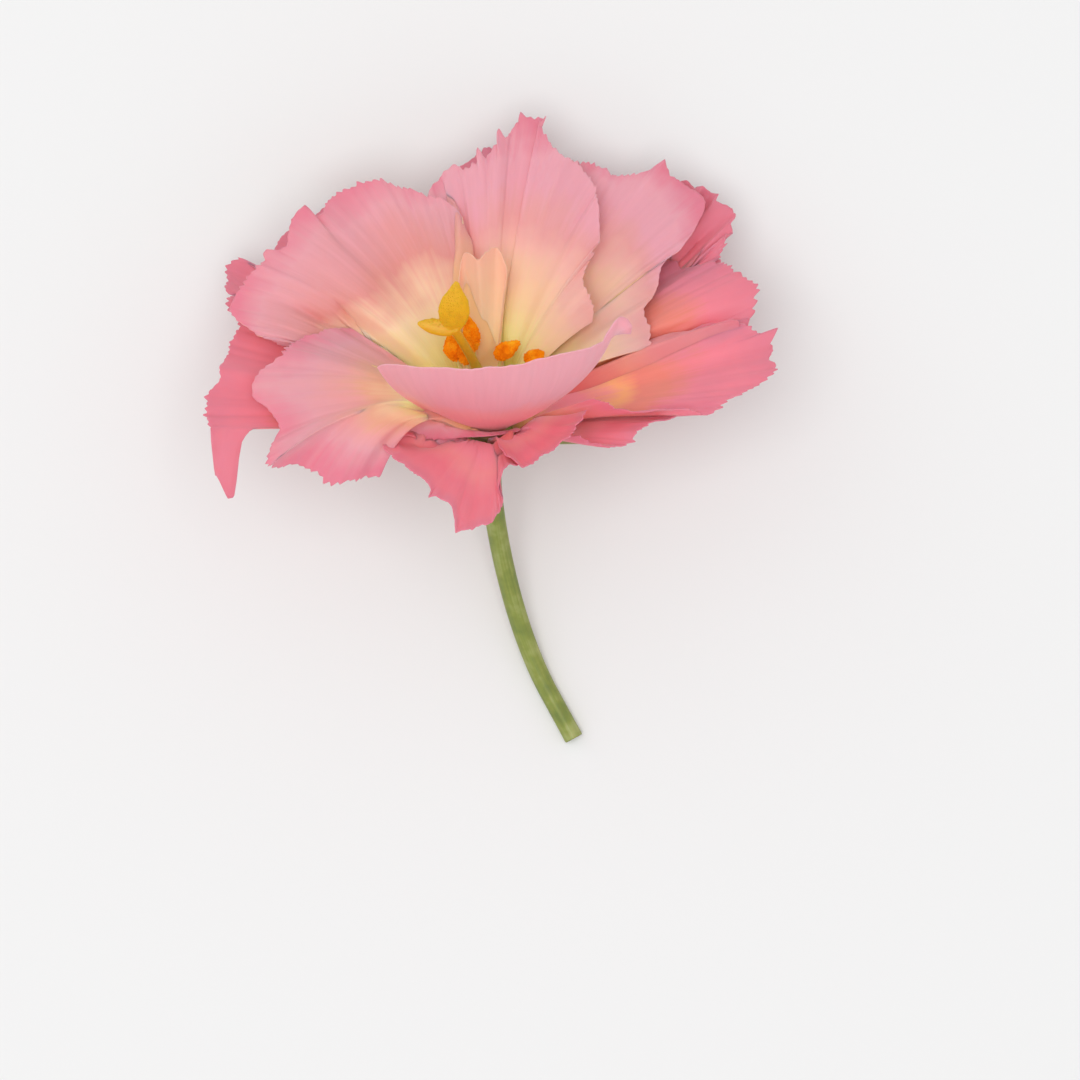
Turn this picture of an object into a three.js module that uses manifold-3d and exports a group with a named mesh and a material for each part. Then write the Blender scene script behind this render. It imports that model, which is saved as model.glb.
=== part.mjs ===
// Lisianthus flower: one cut, fully open double bloom with fringed petals on a short stalk.
// It lies on its back petals and on the cut stalk, so z = 0 is the surface under it.
// Lengths are millimetres. The bloom was measured on the picture, looked at from above:
// picture right is +X, picture up is +Y, and a rim point is given as across, down in
// picture points with its height along the bloom's own axis in millimetres.
import * as THREE from "three";
import { mergeVertices } from "three/addons/utils/BufferGeometryUtils.js";
import Module from "manifold-3d";

const wasm = await Module();
wasm.setup();

// Driving dimensions
const BLOOM_WIDTH = 85;
const BLOOM_POINTS = 560;
const HEART = [490, 425];
const TILT = 47;
const BLADE = 0.64;
const CLEAR = 1.02;
const BESIDE = 0.5;
const REACH = 4;
const SEAT = 0.9;
const SHOULDER = 0.75;
const CLAW_ANGLE = 10;
const INNER_RING = 3.1;
const MIDDLE_RING = 4.2;
const OUTER_RING = 5.3;
const SEPAL_RING = 6.4;
const RECEPTACLE_RADIUS = 6.6;
const STALK_RADIUS = 1.4;
const STALK_FLAT = 0.25;
const REST_HEIGHT = 24.53;
const MIDDLE = [0.6, -1.2];
const ROWS = 9;
const COLUMNS = 18;

const rad = (degrees) => (degrees * Math.PI) / 180;
const POINTS_PER_MM = BLOOM_POINTS / BLOOM_WIDTH;
const SIN_TILT = Math.sin(rad(TILT));
const COS_TILT = Math.cos(rad(TILT));

// From the bloom's own frame (right, back, along the axis) to the part's frame.
function place(right, back, up) {
  return new THREE.Vector3(
    right - MIDDLE[0],
    back * COS_TILT + up * SIN_TILT - MIDDLE[1],
    up * COS_TILT - back * SIN_TILT + REST_HEIGHT,
  );
}

function smooth(from, to, x) {
  const t = Math.min(1, Math.max(0, (x - from) / (to - from)));
  return t * t * (3 - 2 * t);
}

function noise(x, seed) {
  const cell = Math.floor(x);
  const f = x - cell;
  const mix = f * f * (3 - 2 * f);
  const value = (k) => {
    const s = Math.sin(k * 12.9898 + seed * 78.233) * 43758.5453;
    return 2 * (s - Math.floor(s)) - 1;
  };
  return value(cell) * (1 - mix) + value(cell + 1) * mix;
}

// A smooth curve through evenly spaced rows of values.
function through(rows, t) {
  const last = rows.length - 1;
  const x = Math.min(1, Math.max(0, t)) * last;
  const i = Math.min(Math.floor(x), last - 1);
  const f = x - i;
  const p0 = rows[Math.max(i - 1, 0)];
  const p1 = rows[i];
  const p2 = rows[i + 1];
  const p3 = rows[Math.min(i + 2, last)];
  return p1.map((_, k) => 0.5 * (2 * p1[k] + (p2[k] - p0[k]) * f
    + (2 * p0[k] - 5 * p1[k] + 4 * p2[k] - p3[k]) * f * f
    + (3 * p1[k] - p0[k] - 3 * p2[k] + p3[k]) * f * f * f));
}

// A rim point as azimuth round the axis, radius and height.
function ray([across, down, height], middle) {
  const x = (across - HEART[0]) / POINTS_PER_MM;
  const y = (HEART[1] - down) / POINTS_PER_MM;
  const q = (y - SIN_TILT * height) / COS_TILT;
  let azimuth = (Math.atan2(q, x) * 180) / Math.PI;
  azimuth += 360 * Math.round((middle - azimuth) / 360);
  return [azimuth, Math.hypot(x, q), height];
}

// The middle surface of a blade: rows run from the claw to the rim, columns along the rim.
// Each column is a cubic in its own half plane that leaves the ring steeply and ends at the rim.
function blade(spec) {
  const { ring, mid, claw, seed, rise, reach, bend, ruffle = 1, tooth = 1, spread = 0.5 } = spec;
  const columns = spec.columns ?? COLUMNS;
  const rays = spec.rays ?? spec.rim.map((point) => ray(point, mid));
  const turn = Math.sign(rays[rays.length - 1][0] - rays[0][0]);
  const seat = SEAT - SHOULDER * (ring - INNER_RING);
  const rim = [];
  let along = 0;
  for (let j = 0; j < columns; j += 1) {
    const [azimuth, radius, height] = through(rays, j / (columns - 1));
    if (j > 0) {
      const before = rim[j - 1];
      along += Math.hypot(radius - before.radius, rad(azimuth - before.azimuth) * radius);
    }
    rim.push({ azimuth, radius, height, along });
  }
  const surface = [];
  for (let i = 0; i < ROWS; i += 1) {
    const u = i / (ROWS - 1);
    const w = 1 - u;
    const row = [];
    for (let j = 0; j < columns; j += 1) {
      const v = j / (columns - 1);
      const { azimuth, radius, height, along: mm } = rim[j];
      const chord = Math.hypot(radius - ring, height - seat);
      const lean = Math.atan2(radius - ring, height - seat) + rad(bend);
      const r1 = ring + rise * Math.sin(rad(CLAW_ANGLE));
      const h1 = seat + rise * Math.cos(rad(CLAW_ANGLE));
      const r2 = radius - reach * chord * Math.sin(lean);
      const h2 = height - reach * chord * Math.cos(lean);
      let r = w ** 3 * ring + 3 * w * w * u * r1 + 3 * w * u * u * r2 + u ** 3 * radius;
      let h = w ** 3 * seat + 3 * w * w * u * h1 + 3 * w * u * u * h2 + u ** 3 * height;
      const dr = w * w * (r1 - ring) + 2 * w * u * (r2 - r1) + u * u * (radius - r2);
      const dh = w * w * (h1 - seat) + 2 * w * u * (h2 - h1) + u * u * (height - h2);
      const size = Math.hypot(dr, dh);
      const teeth = tooth * smooth(0.8, 1, u)
        * (0.8 * noise(mm / 5.2, seed * 7 + 1) + 0.6 * noise(mm / 2.3, seed * 7 + 2));
      const wave = ruffle * smooth(0.4, 1, u) ** 1.5
        * (noise(mm / 4.5 + 0.3, seed * 5 + 11) + 0.35 * noise(mm / 2.05, seed * 5 + 12));
      r += (teeth * dr - wave * dh) / size;
      h += (teeth * dh + wave * dr) / size;
      const from = mid + turn * (2 * v - 1) * claw;
      const around = rad(from + (azimuth - from) * smooth(-0.02, spread, u));
      const at = place(r * Math.cos(around), r * Math.sin(around), h);
      for (const [where, dx, dy, dz, share, start] of spec.pulls ?? []) {
        const pull = Math.max(0, 1 - Math.abs(v - where) / share) ** 1.2 * smooth(start, 1, u) ** 1.5;
        at.add(new THREE.Vector3(dx, dy, dz).multiplyScalar(pull));
      }
      row.push(at);
    }
    surface.push(row);
  }
  return surface;
}

// Normals of a grid of points, on the side that looks into the bloom.
function normals(surface) {
  const rows = surface.length;
  const columns = surface[0].length;
  const heart = place(0, 0, 32);
  const out = surface.map((row, i) => row.map((point, j) => {
    const up = surface[Math.min(i + 1, rows - 1)][j].clone().sub(surface[Math.max(i - 1, 0)][j]);
    const across = row[Math.min(j + 1, columns - 1)].clone().sub(row[Math.max(j - 1, 0)]);
    return up.cross(across).normalize();
  }));
  let facing = 0;
  surface.forEach((row, i) => row.forEach((point, j) => {
    facing += heart.clone().sub(point).normalize().dot(out[i][j]);
  }));
  if (facing < 0) out.forEach((row) => row.forEach((n) => n.negate()));
  return out;
}

// The nearest point of a grid: first its nearest corner, then the triangles round that corner.
const triangle = new THREE.Triangle();
const spot = new THREE.Vector3();
function nearest(surface, point) {
  const rows = surface.length;
  const columns = surface[0].length;
  let best = Infinity;
  let bi = 0;
  let bj = 0;
  for (let i = 0; i < rows; i += 1) {
    for (let j = 0; j < columns; j += 1) {
      const d = surface[i][j].distanceToSquared(point);
      if (d < best) {
        best = d;
        bi = i;
        bj = j;
      }
    }
  }
  const found = { distance: Infinity, at: new THREE.Vector3(), cell: [0, 0] };
  for (let i = Math.max(0, bi - 1); i < Math.min(rows - 1, bi + 1); i += 1) {
    for (let j = Math.max(0, bj - 1); j < Math.min(columns - 1, bj + 1); j += 1) {
      const [a, b, c, d] = [surface[i][j], surface[i + 1][j], surface[i + 1][j + 1], surface[i][j + 1]];
      for (const corners of [[a, b, c], [a, c, d]]) {
        triangle.set(...corners);
        triangle.closestPointToPoint(point, spot);
        const distance = spot.distanceTo(point);
        if (distance < found.distance) {
          found.distance = distance;
          found.at.copy(spot);
          found.cell = [i, j];
        }
      }
    }
  }
  return found;
}

// Bends a blade clear of one that lies nearer the bloom's heart.
function bendClear(lower, upper) {
  const upperNormals = normals(upper);
  const lowerNormals = normals(lower);
  const push = lower.map((row) => row.map(() => new THREE.Vector3()));
  const press = (i, j, direction, amount) => {
    const move = direction.clone().multiplyScalar(-amount * smooth(-0.05, 0.12, i / (ROWS - 1)));
    if (i > 0 && move.lengthSq() > push[i][j].lengthSq()) push[i][j].copy(move);
  };
  const measure = (surface, surfaceNormals, point, normal) => {
    const { distance, at, cell } = nearest(surface, point);
    const n = surfaceNormals[cell[0]][cell[1]];
    const offset = point.clone().sub(at);
    const above = offset.dot(n);
    const beside = Math.sqrt(Math.max(0, offset.lengthSq() - above * above));
    const apart = distance > REACH || beside > BESIDE || n.dot(normal) < 0.3;
    const need = CLEAR * Math.sqrt(Math.max(0, 1 - (beside / BESIDE) ** 2));
    return { n, cell, above, need, apart };
  };
  lower.forEach((row, i) => row.forEach((point, j) => {
    const { n, above, need, apart } = measure(upper, upperNormals, point, lowerNormals[i][j]);
    if (!apart && above > -need) press(i, j, n, above + need);
  }));
  upper.forEach((row, i) => row.forEach((point, j) => {
    const { n, cell, above, need, apart } = measure(lower, lowerNormals, point, upperNormals[i][j]);
    if (apart || above > need) return;
    for (const [a, b] of [[0, 0], [1, 0], [0, 1], [1, 1]]) {
      press(cell[0] + a, cell[1] + b, n, need - above);
    }
  }));
  let moved = 0;
  lower.forEach((row, i) => row.forEach((point, j) => {
    point.add(push[i][j]);
    moved = Math.max(moved, push[i][j].length());
  }));
  return moved;
}

// A closed body from a grid: both faces triangulated alike, then a strip all round.
function shell(surface) {
  const rows = surface.length;
  const columns = surface[0].length;
  const n = normals(surface);
  const positions = [];
  for (const side of [0.5, -0.5]) {
    surface.forEach((row, i) => row.forEach((point, j) => {
      positions.push(...point.clone().addScaledVector(n[i][j], side * BLADE).toArray());
    }));
  }
  const id = (side, i, j) => side * rows * columns + i * columns + j;
  const index = [];
  const quad = (a, b, c, d) => index.push(a, b, c, a, c, d);
  for (let i = 0; i < rows - 1; i += 1) {
    for (let j = 0; j < columns - 1; j += 1) {
      quad(id(0, i, j), id(0, i + 1, j), id(0, i + 1, j + 1), id(0, i, j + 1));
      index.push(id(1, i, j), id(1, i + 1, j + 1), id(1, i + 1, j));
      index.push(id(1, i, j), id(1, i, j + 1), id(1, i + 1, j + 1));
    }
  }
  const strip = (a, b) => quad(id(0, ...b), id(0, ...a), id(1, ...a), id(1, ...b));
  for (let j = 0; j < columns - 1; j += 1) {
    strip([0, j + 1], [0, j]);
    strip([rows - 1, j], [rows - 1, j + 1]);
  }
  for (let i = 0; i < rows - 1; i += 1) {
    strip([i, 0], [i + 1, 0]);
    strip([i + 1, columns - 1], [i, columns - 1]);
  }
  return outward(positions, index);
}

function volume(positions, index) {
  let total = 0;
  for (let k = 0; k < index.length; k += 3) {
    const [a, b, c] = [0, 1, 2].map((m) => new THREE.Vector3().fromArray(positions, 3 * index[k + m]));
    total += a.dot(b.cross(c)) / 6;
  }
  return total;
}

function outward(positions, index) {
  if (volume(positions, index) < 0) {
    for (let k = 0; k < index.length; k += 3) [index[k + 1], index[k + 2]] = [index[k + 2], index[k + 1]];
  }
  return { positions, index };
}

function solid({ positions, index }) {
  const mesh = new wasm.Mesh({
    numProp: 3,
    vertProperties: Float32Array.from(positions),
    triVerts: Uint32Array.from(index),
  });
  mesh.merge();
  return new wasm.Manifold(mesh);
}

// A round bar along a path of points with a radius at each, closed at both ends.
function tube(path, radii, sides) {
  const positions = [];
  const index = [];
  const frame = new THREE.Vector3(1, 0, 0);
  path.forEach((point, i) => {
    const ahead = path[Math.min(i + 1, path.length - 1)].clone().sub(path[Math.max(i - 1, 0)]).normalize();
    const one = frame.clone().addScaledVector(ahead, -frame.dot(ahead)).normalize();
    const two = ahead.clone().cross(one);
    for (let k = 0; k < sides; k += 1) {
      const angle = (2 * Math.PI * k) / sides;
      const at = point.clone().addScaledVector(one, radii[i] * Math.cos(angle));
      positions.push(...at.addScaledVector(two, radii[i] * Math.sin(angle)).toArray());
    }
  });
  for (let i = 0; i < path.length - 1; i += 1) {
    for (let k = 0; k < sides; k += 1) {
      const next = (k + 1) % sides;
      const [a, b] = [i * sides + k, i * sides + next];
      index.push(a, b, b + sides, a, b + sides, a + sides);
    }
  }
  const ends = [[0, 0], [path.length - 1, (path.length - 1) * sides]];
  for (const [at, first] of ends) {
    const hub = positions.length / 3;
    positions.push(...path[at].toArray());
    for (let k = 0; k < sides; k += 1) {
      const [a, b] = [first + k, first + ((k + 1) % sides)];
      index.push(...(at === 0 ? [hub, b, a] : [hub, a, b]));
    }
  }
  return outward(positions, index);
}

// An egg-shaped body between two points, flattened along one direction.
function lobe(from, to, width, thickness, facing, detail) {
  const length = to.clone().sub(from);
  const shape = new THREE.SphereGeometry(0.5, detail, Math.round(detail * 0.8));
  shape.deleteAttribute("uv");
  shape.deleteAttribute("normal");
  const merged = mergeVertices(shape, 1e-4);
  const axis = length.clone().normalize();
  const flat = facing.clone().addScaledVector(axis, -facing.dot(axis)).normalize();
  const side = axis.clone().cross(flat);
  const positions = [];
  const source = merged.getAttribute("position");
  for (let k = 0; k < source.count; k += 1) {
    const [x, y, z] = [source.getX(k), source.getY(k), source.getZ(k)];
    const pointed = 1 - 0.45 * smooth(-0.1, 0.5, y);
    const at = from.clone().addScaledVector(length, y + 0.5);
    at.addScaledVector(side, x * width * pointed).addScaledVector(flat, z * thickness * pointed);
    positions.push(...at.toArray());
  }
  return outward(positions, Array.from(merged.index.array));
}

const group = new THREE.Group();
group.name = "lisianthus_flower";
function add(name, colour, { positions, index }) {
  const geometry = new THREE.BufferGeometry();
  geometry.setAttribute("position", new THREE.Float32BufferAttribute(positions, 3));
  geometry.setIndex(index);
  const mesh = new THREE.Mesh(geometry, new THREE.MeshStandardMaterial({ color: colour, roughness: 0.6 }));
  mesh.name = name;
  group.add(mesh);
}
function fromSolid(body) {
  const mesh = body.getMesh();
  return { positions: Array.from(mesh.vertProperties), index: Array.from(mesh.triVerts) };
}

// Petals, from the one nearest the heart of the bloom to the ones at the back.
const PETALS = {
  petal_front: {
    rim: [[380, 366, 22], [410, 368, 25], [450, 370, 27], [500, 369, 28], [550, 361, 28],
      [592, 348, 27], [620, 333, 26]],
    ring: INNER_RING, mid: 268, claw: 42, seed: 1, rise: 3, reach: 0.6, bend: -22,
    ruffle: 0.3, tooth: 0.12, spread: 0.35, columns: 16,
  },
  petaloid: {
    rim: [[460, 262, 21], [470, 246, 23], [490, 246, 23], [503, 268, 21], [500, 305, 17]],
    ring: INNER_RING, mid: 107, claw: 9, seed: 21, rise: 5, reach: 0.4, bend: 0,
    ruffle: 0.5, tooth: 0.5, columns: 10,
  },
  petal_inner_1: {
    rim: [[330, 332, 13], [262, 318, 16], [236, 290, 17], [288, 247, 20], [300, 218, 21],
      [345, 182, 23], [400, 181, 23], [442, 203, 22], [458, 228, 21]],
    ring: INNER_RING, mid: 151, claw: 25, seed: 2, rise: 4, reach: 0.5, bend: 24, ruffle: 0.9, columns: 22,
  },
  petal_inner_2: {
    rim: [[430, 200, 21], [452, 176, 23], [486, 150, 25], [528, 112, 25], [560, 148, 24],
      [593, 178, 22], [600, 225, 20], [584, 262, 18], [590, 300, 15], [592, 322, 13]],
    ring: INNER_RING, mid: 64, claw: 24, seed: 3, rise: 4, reach: 0.5, bend: 24, ruffle: 0.8, columns: 22,
  },
  petal_inner_3: {
    rim: [[570, 190, 19], [600, 168, 20], [640, 176, 20], [676, 168, 20], [703, 202, 19],
      [680, 245, 17], [658, 285, 14], [646, 340, 11]],
    ring: MIDDLE_RING, mid: 50, claw: 21, seed: 4, rise: 4, reach: 0.5, bend: 20, ruffle: 0.8, columns: 20,
  },
  petal_inner_4: {
    rim: [[650, 250, 12], [690, 262, 13], [725, 266, 14.5], [755, 296, 15], [738, 318, 14],
      [775, 335, 13], [768, 362, 11]],
    ring: MIDDLE_RING, mid: 8, claw: 13, seed: 5, rise: 3.5, reach: 0.55, bend: 12, ruffle: 0.9,
  },
  petal_inner_5: {
    rim: [[735, 335, 9], [768, 365, 10], [764, 392, 11], [728, 408, 12], [690, 416, 12],
      [650, 416, 12], [618, 408, 12], [588, 400, 12]],
    ring: MIDDLE_RING, mid: 323, claw: 25, seed: 6, rise: 2.5, reach: 0.5, bend: 2, ruffle: 0.9,
  },
  petal_outer_1: {
    rim: [[352, 322, 11], [328, 334, 12], [292, 343, 13], [263, 380, 13], [270, 425, 13],
      [268, 466, 11], [334, 482, 12], [384, 468, 13], [410, 440, 13], [468, 434, 11]],
    ring: MIDDLE_RING, mid: 215, claw: 30, seed: 7, rise: 2.5, reach: 0.5, bend: 2, ruffle: 1, columns: 22,
  },
  petal_outer_2: {
    rim: [[490, 440, 7], [500, 455, 7], [510, 468, 7], [530, 466, 7], [546, 455, 7],
      [572, 432, 7], [580, 420, 7]],
    ring: OUTER_RING, mid: 291, claw: 16, seed: 14, rise: 2, reach: 0.5, bend: 2, ruffle: 0.8,
    columns: 14,
  },
  petal_outer_3: {
    rim: [[385, 450, 8], [392, 470, 8], [430, 500, 9], [458, 526, 10], [495, 521, 8.5],
      [506, 490, 6.5], [508, 465, 5], [505, 450, 4.5]],
    ring: OUTER_RING, mid: 252, claw: 17, seed: 8, rise: 2, reach: 0.5, bend: 2, ruffle: 1,
  },
  petal_outer_4: {
    rim: [[250, 300, 11], [236, 322, 11], [228, 355, 10], [214, 394, 9], [222, 430, 8],
      [240, 436, 7], [277, 427, 6]],
    ring: OUTER_RING, mid: 198, claw: 23, seed: 9, rise: 2, reach: 0.5, bend: 4, ruffle: 1,
    pulls: [[0.7, 0, -9.5, -2, 0.075, 0.72]], columns: 20,
  },
  petal_outer_5: {
    rim: [[262, 300, 8.6], [222, 290, 8.6], [226, 262, 8.6], [262, 252, 8.6], [296, 222, 8.6],
      [330, 202, 8.6], [380, 195, 8.6]],
    ring: OUTER_RING, mid: 138, claw: 25, seed: 10, rise: 2.5, reach: 0.5, bend: 12, ruffle: 1,
  },
  petal_outer_6: {
    rim: [[430, 190, 13], [465, 162, 14], [495, 142, 15], [560, 150, 15], [598, 166, 14],
      [630, 178, 13], [660, 185, 12]],
    ring: OUTER_RING, mid: 86, claw: 21, seed: 11, rise: 3, reach: 0.5, bend: 18, ruffle: 1,
  },
  petal_outer_7: {
    rim: [[660, 195, 12], [712, 190, 12], [732, 208, 12], [721, 240, 11], [725, 268, 9],
      [735, 290, 8]],
    ring: OUTER_RING, mid: 35, claw: 20, seed: 12, rise: 2.5, reach: 0.5, bend: 14, ruffle: 1, columns: 16,
  },
  petal_outer_8: {
    rim: [[742, 372, 4], [735, 395, 4], [705, 415, 4.5], [668, 424, 4.5], [632, 436, 4.5],
      [602, 440, 4.5], [575, 436, 4.5]],
    ring: OUTER_RING, mid: 335, claw: 23, seed: 13, rise: 2, reach: 0.5, bend: 3, ruffle: 1,
  },
};

// Sepals: five narrow pointed blades under the petals, given as azimuth, radius and height.
const SEPALS = [[52, 3.5], [122, 4], [194, 2], [263, 0], [340, 2.5]];
SEPALS.forEach(([azimuth, height], k) => {
  PETALS[`sepal_${k + 1}`] = {
    rays: [[-6, 12, 0.75], [-4, 16, 0.9], [0, 19, 1], [4, 16, 0.9], [6, 12, 0.75]]
      .map(([turn, radius, share]) => [azimuth + turn, radius, height * share]),
    ring: SEPAL_RING, mid: azimuth, claw: 15, seed: 30 + k, rise: 0.7, reach: 0.4, bend: 2,
    ruffle: 0.15, tooth: 0.1, columns: 8,
  };
});

// The room that a blade needs: a slab round each of its cells, a little larger all round.
function roomOf(surface) {
  const n = normals(surface);
  const slabs = [];
  for (let i = 0; i < surface.length - 1; i += 1) {
    for (let j = 0; j < surface[0].length - 1; j += 1) {
      const corners = [];
      for (const [a, b] of [[i, j], [i + 1, j], [i + 1, j + 1], [i, j + 1]]) {
        const corner = surface[a][b];
        const inward = surface[2 * i + 1 - a][b].clone().sub(corner).normalize();
        inward.add(surface[a][2 * j + 1 - b].clone().sub(corner).normalize());
        const wide = corner.clone().addScaledVector(inward, -ROOM);
        for (const side of [1, -1]) {
          corners.push(wide.clone().addScaledVector(n[a][b], side * (BLADE / 2 + ROOM)).toArray());
        }
      }
      slabs.push(wasm.Manifold.hull(corners));
    }
  }
  return wasm.Manifold.union(slabs);
}

// What is left of a body once the room another one needs is cut away, without loose crumbs.
function cutClear(body, surface) {
  const pieces = body.subtract(roomOf(surface)).simplify(0.03).decompose();
  return pieces.sort((one, two) => two.volume() - one.volume())[0];
}

// The petals are laid in one after the other: each is bent clear of those nearer the heart,
// and what still comes closer than a hair's breadth is trimmed off.
const HAIR = 0.3;
const ROOM = 0.4;
const settled = [];
for (const [name, spec] of Object.entries(PETALS)) {
  const surface = blade(spec);
  for (let round = 0; round < 12; round += 1) {
    let moved = 0;
    for (const upper of settled) moved = Math.max(moved, bendClear(surface, upper.surface));
    if (moved < 0.02) break;
  }
  let body = solid(shell(surface));
  for (const upper of settled) {
    if (body.minGap(upper.body, HAIR) < HAIR - 0.01) body = cutClear(body, upper.surface);
  }
  settled.push({ name, surface, body });
}
for (const { name, body } of settled) {
  add(name, name.startsWith("sepal") ? 0x7f9a45 : 0xe58aa0, fromSolid(body));
}

// The pistil: ovary, style and the two blades of the stigma, grown as one piece.
const styleEnd = place(-5.4, -0.3, 20);
const pistilPath = [
  place(0, 0, 0.35), place(0, 0, 1.2), place(-0.1, 0, 3.2), place(-0.3, 0, 5.5), place(-0.6, 0, 7.6),
  place(-1.1, 0, 9.4), place(-1.7, 0, 11), place(-3.2, -0.1, 15), styleEnd,
];
const pistilRadii = [1.3, 1.45, 1.65, 1.75, 1.65, 1.3, 0.85, 0.72, 0.75];
const camera = new THREE.Vector3(0, 0, 1);
const stigmaTall = lobe(place(-5.7, -0.5, 19), place(-5, 2, 27.6), 4.4, 1.5, camera, 12);
const stigmaSmall = lobe(place(-4.9, -0.3, 19.6), place(-11, 0.3, 20.6), 2.9, 1.4, camera, 10);
const pistil = solid(tube(pistilPath, pistilRadii, 12)).add(solid(stigmaTall)).add(solid(stigmaSmall));
add("pistil", 0xc9a21a, fromSolid(pistil));

// The stamens: a low ring round the ovary, a filament and an anther each, fused as they grow.
const ringOuter = solid(tube([place(0, 0, 0.35), place(0, 0, 1.1)], [2.45, 2.45], 20));
const ringInner = solid(tube([place(0, 0, -1), place(0, 0, 3)], [1.85, 1.85], 20));
let stamens = ringOuter.subtract(ringInner);
const ANTHERS = [
  [[-6.2, 4.6, 14.6], [-5.2, 2.6, 10.7]],
  [[-3.3, 6.4, 16.6], [-2.4, 4.2, 11.3]],
  [[-3.6, 3.2, 15], [-3.6, 1.5, 11]],
  [[4.6, 4.3, 13.2], [0.7, 3.1, 11.2]],
  [[8.3, 3.5, 11.8], [5.2, 3, 10.4]],
  [[3.4, -4.6, 13.6], [3.2, -4.3, 10]],
  [[-3.8, -4.8, 13.8], [-3.4, -4.6, 10.2]],
];
for (const [top, bottom] of ANTHERS) {
  const [high, low] = [place(...top), place(...bottom)];
  const around = Math.atan2(bottom[1], bottom[0]);
  const foot = place(2.15 * Math.cos(around), 2.15 * Math.sin(around), 0.75);
  const bow = place(2.95 * Math.cos(around), 2.95 * Math.sin(around), 5);
  const neck = low.clone().lerp(high, 0.3);
  stamens = stamens.add(solid(tube([foot, bow, neck], [0.31, 0.31, 0.31], 6)));
  stamens = stamens.add(solid(lobe(low, high, 2.4, 1.8, camera, 7)));
}
add("stamens", 0xe08214, fromSolid(stamens));

// The stalk swells into the receptacle, bends down and ends in a cut on the surface.
const axisDown = place(0, 0, -1).sub(place(0, 0, 0));
const start = place(0, 0, 0);
const lie = STALK_RADIUS - STALK_FLAT;
const bend = [
  start.clone().addScaledVector(axisDown, 8.2),
  start.clone().addScaledVector(axisDown, 18),
  new THREE.Vector3(start.x + 3, start.y - 30, lie),
  new THREE.Vector3(start.x + 9, start.y - 41, lie),
];
const curve = new THREE.CubicBezierCurve3(...bend);
const flank = (RECEPTACLE_RADIUS - INNER_RING - 0.4) * SHOULDER;
const depths = [0, flank, flank + 0.8, flank + 2.2, flank + 3.8];
const stalkPath = depths.map((depth) => start.clone().addScaledVector(axisDown, depth));
const stalkRadii = [INNER_RING + 0.4, RECEPTACLE_RADIUS, RECEPTACLE_RADIUS - 0.5, 4.4, 2.8];
for (let k = 0; k <= 10; k += 1) {
  stalkPath.push(curve.getPoint(k / 10));
  stalkRadii.push(k === 0 ? 2 : STALK_RADIUS * (1 + 0.12 * (1 - k / 10)));
}
const ahead = bend[3].clone().sub(bend[2]).normalize();
stalkPath.push(bend[3].clone().addScaledVector(ahead, 8));
stalkRadii.push(STALK_RADIUS);
let stem = solid(tube(stalkPath, stalkRadii, 16)).trimByPlane([0, 0, 1], 0);
for (const { surface, body } of settled) {
  if (stem.minGap(body, HAIR) < HAIR - 0.01) stem = cutClear(stem, surface);
}
add("stem", 0x7d8a3f, fromSolid(stem));

export default group;
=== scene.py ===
import math

import bmesh
import bpy
import numpy as np
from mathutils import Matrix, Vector
from mathutils.bvhtree import BVHTree


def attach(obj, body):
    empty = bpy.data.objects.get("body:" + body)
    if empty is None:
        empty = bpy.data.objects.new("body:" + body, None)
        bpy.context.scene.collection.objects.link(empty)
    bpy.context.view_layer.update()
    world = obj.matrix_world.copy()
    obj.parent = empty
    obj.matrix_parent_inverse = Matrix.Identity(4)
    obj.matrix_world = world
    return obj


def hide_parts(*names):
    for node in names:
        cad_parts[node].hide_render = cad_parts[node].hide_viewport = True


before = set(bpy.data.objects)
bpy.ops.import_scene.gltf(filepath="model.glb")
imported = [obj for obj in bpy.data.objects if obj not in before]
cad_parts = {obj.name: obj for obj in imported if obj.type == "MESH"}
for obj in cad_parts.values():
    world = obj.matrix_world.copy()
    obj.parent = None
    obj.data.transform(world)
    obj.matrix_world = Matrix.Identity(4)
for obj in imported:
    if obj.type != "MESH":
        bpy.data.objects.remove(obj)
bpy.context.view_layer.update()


# Stem: the cut stalk, one grown piece of smooth green plant tissue with four faint ribs. It
# swells into the receptacle that everything else grows from, and bends down to lie at rest.
TILT = math.radians(47)
REST_HEIGHT_MM = 24.53
MIDDLE_MM = (0.6, -1.2)
INNER_RING_MM = 3.1
SHOULDER = 0.75
RECEPTACLE_MM = 6.6
STALK_MM = 1.4
STALK_FLAT_MM = 0.25


def in_bloom(right, back, up):
    """From the bloom's own frame, in millimetres, to the part's frame, in millimetres."""
    x = right - MIDDLE_MM[0]
    y = back * math.cos(TILT) + up * math.sin(TILT) - MIDDLE_MM[1]
    z = up * math.cos(TILT) - back * math.sin(TILT) + REST_HEIGHT_MM
    return np.stack(np.broadcast_arrays(x, y, z), -1).astype(float)


def through(rows, t):
    """A smooth curve through evenly spaced rows of values."""
    rows = np.asarray(rows, float)
    last = len(rows) - 1
    x = np.clip(t, 0, 1) * last
    i = np.minimum(np.floor(x).astype(int), last - 1)
    f = (x - i).reshape(-1, *[1] * (rows.ndim - 1))
    p0, p1 = rows[np.maximum(i - 1, 0)], rows[i]
    p2, p3 = rows[i + 1], rows[np.minimum(i + 2, last)]
    return 0.5 * (2 * p1 + (p2 - p0) * f + (2 * p0 - 5 * p1 + 4 * p2 - p3) * f**2
                  + (3 * p1 - p0 - 3 * p2 + p3) * f**3)


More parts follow.
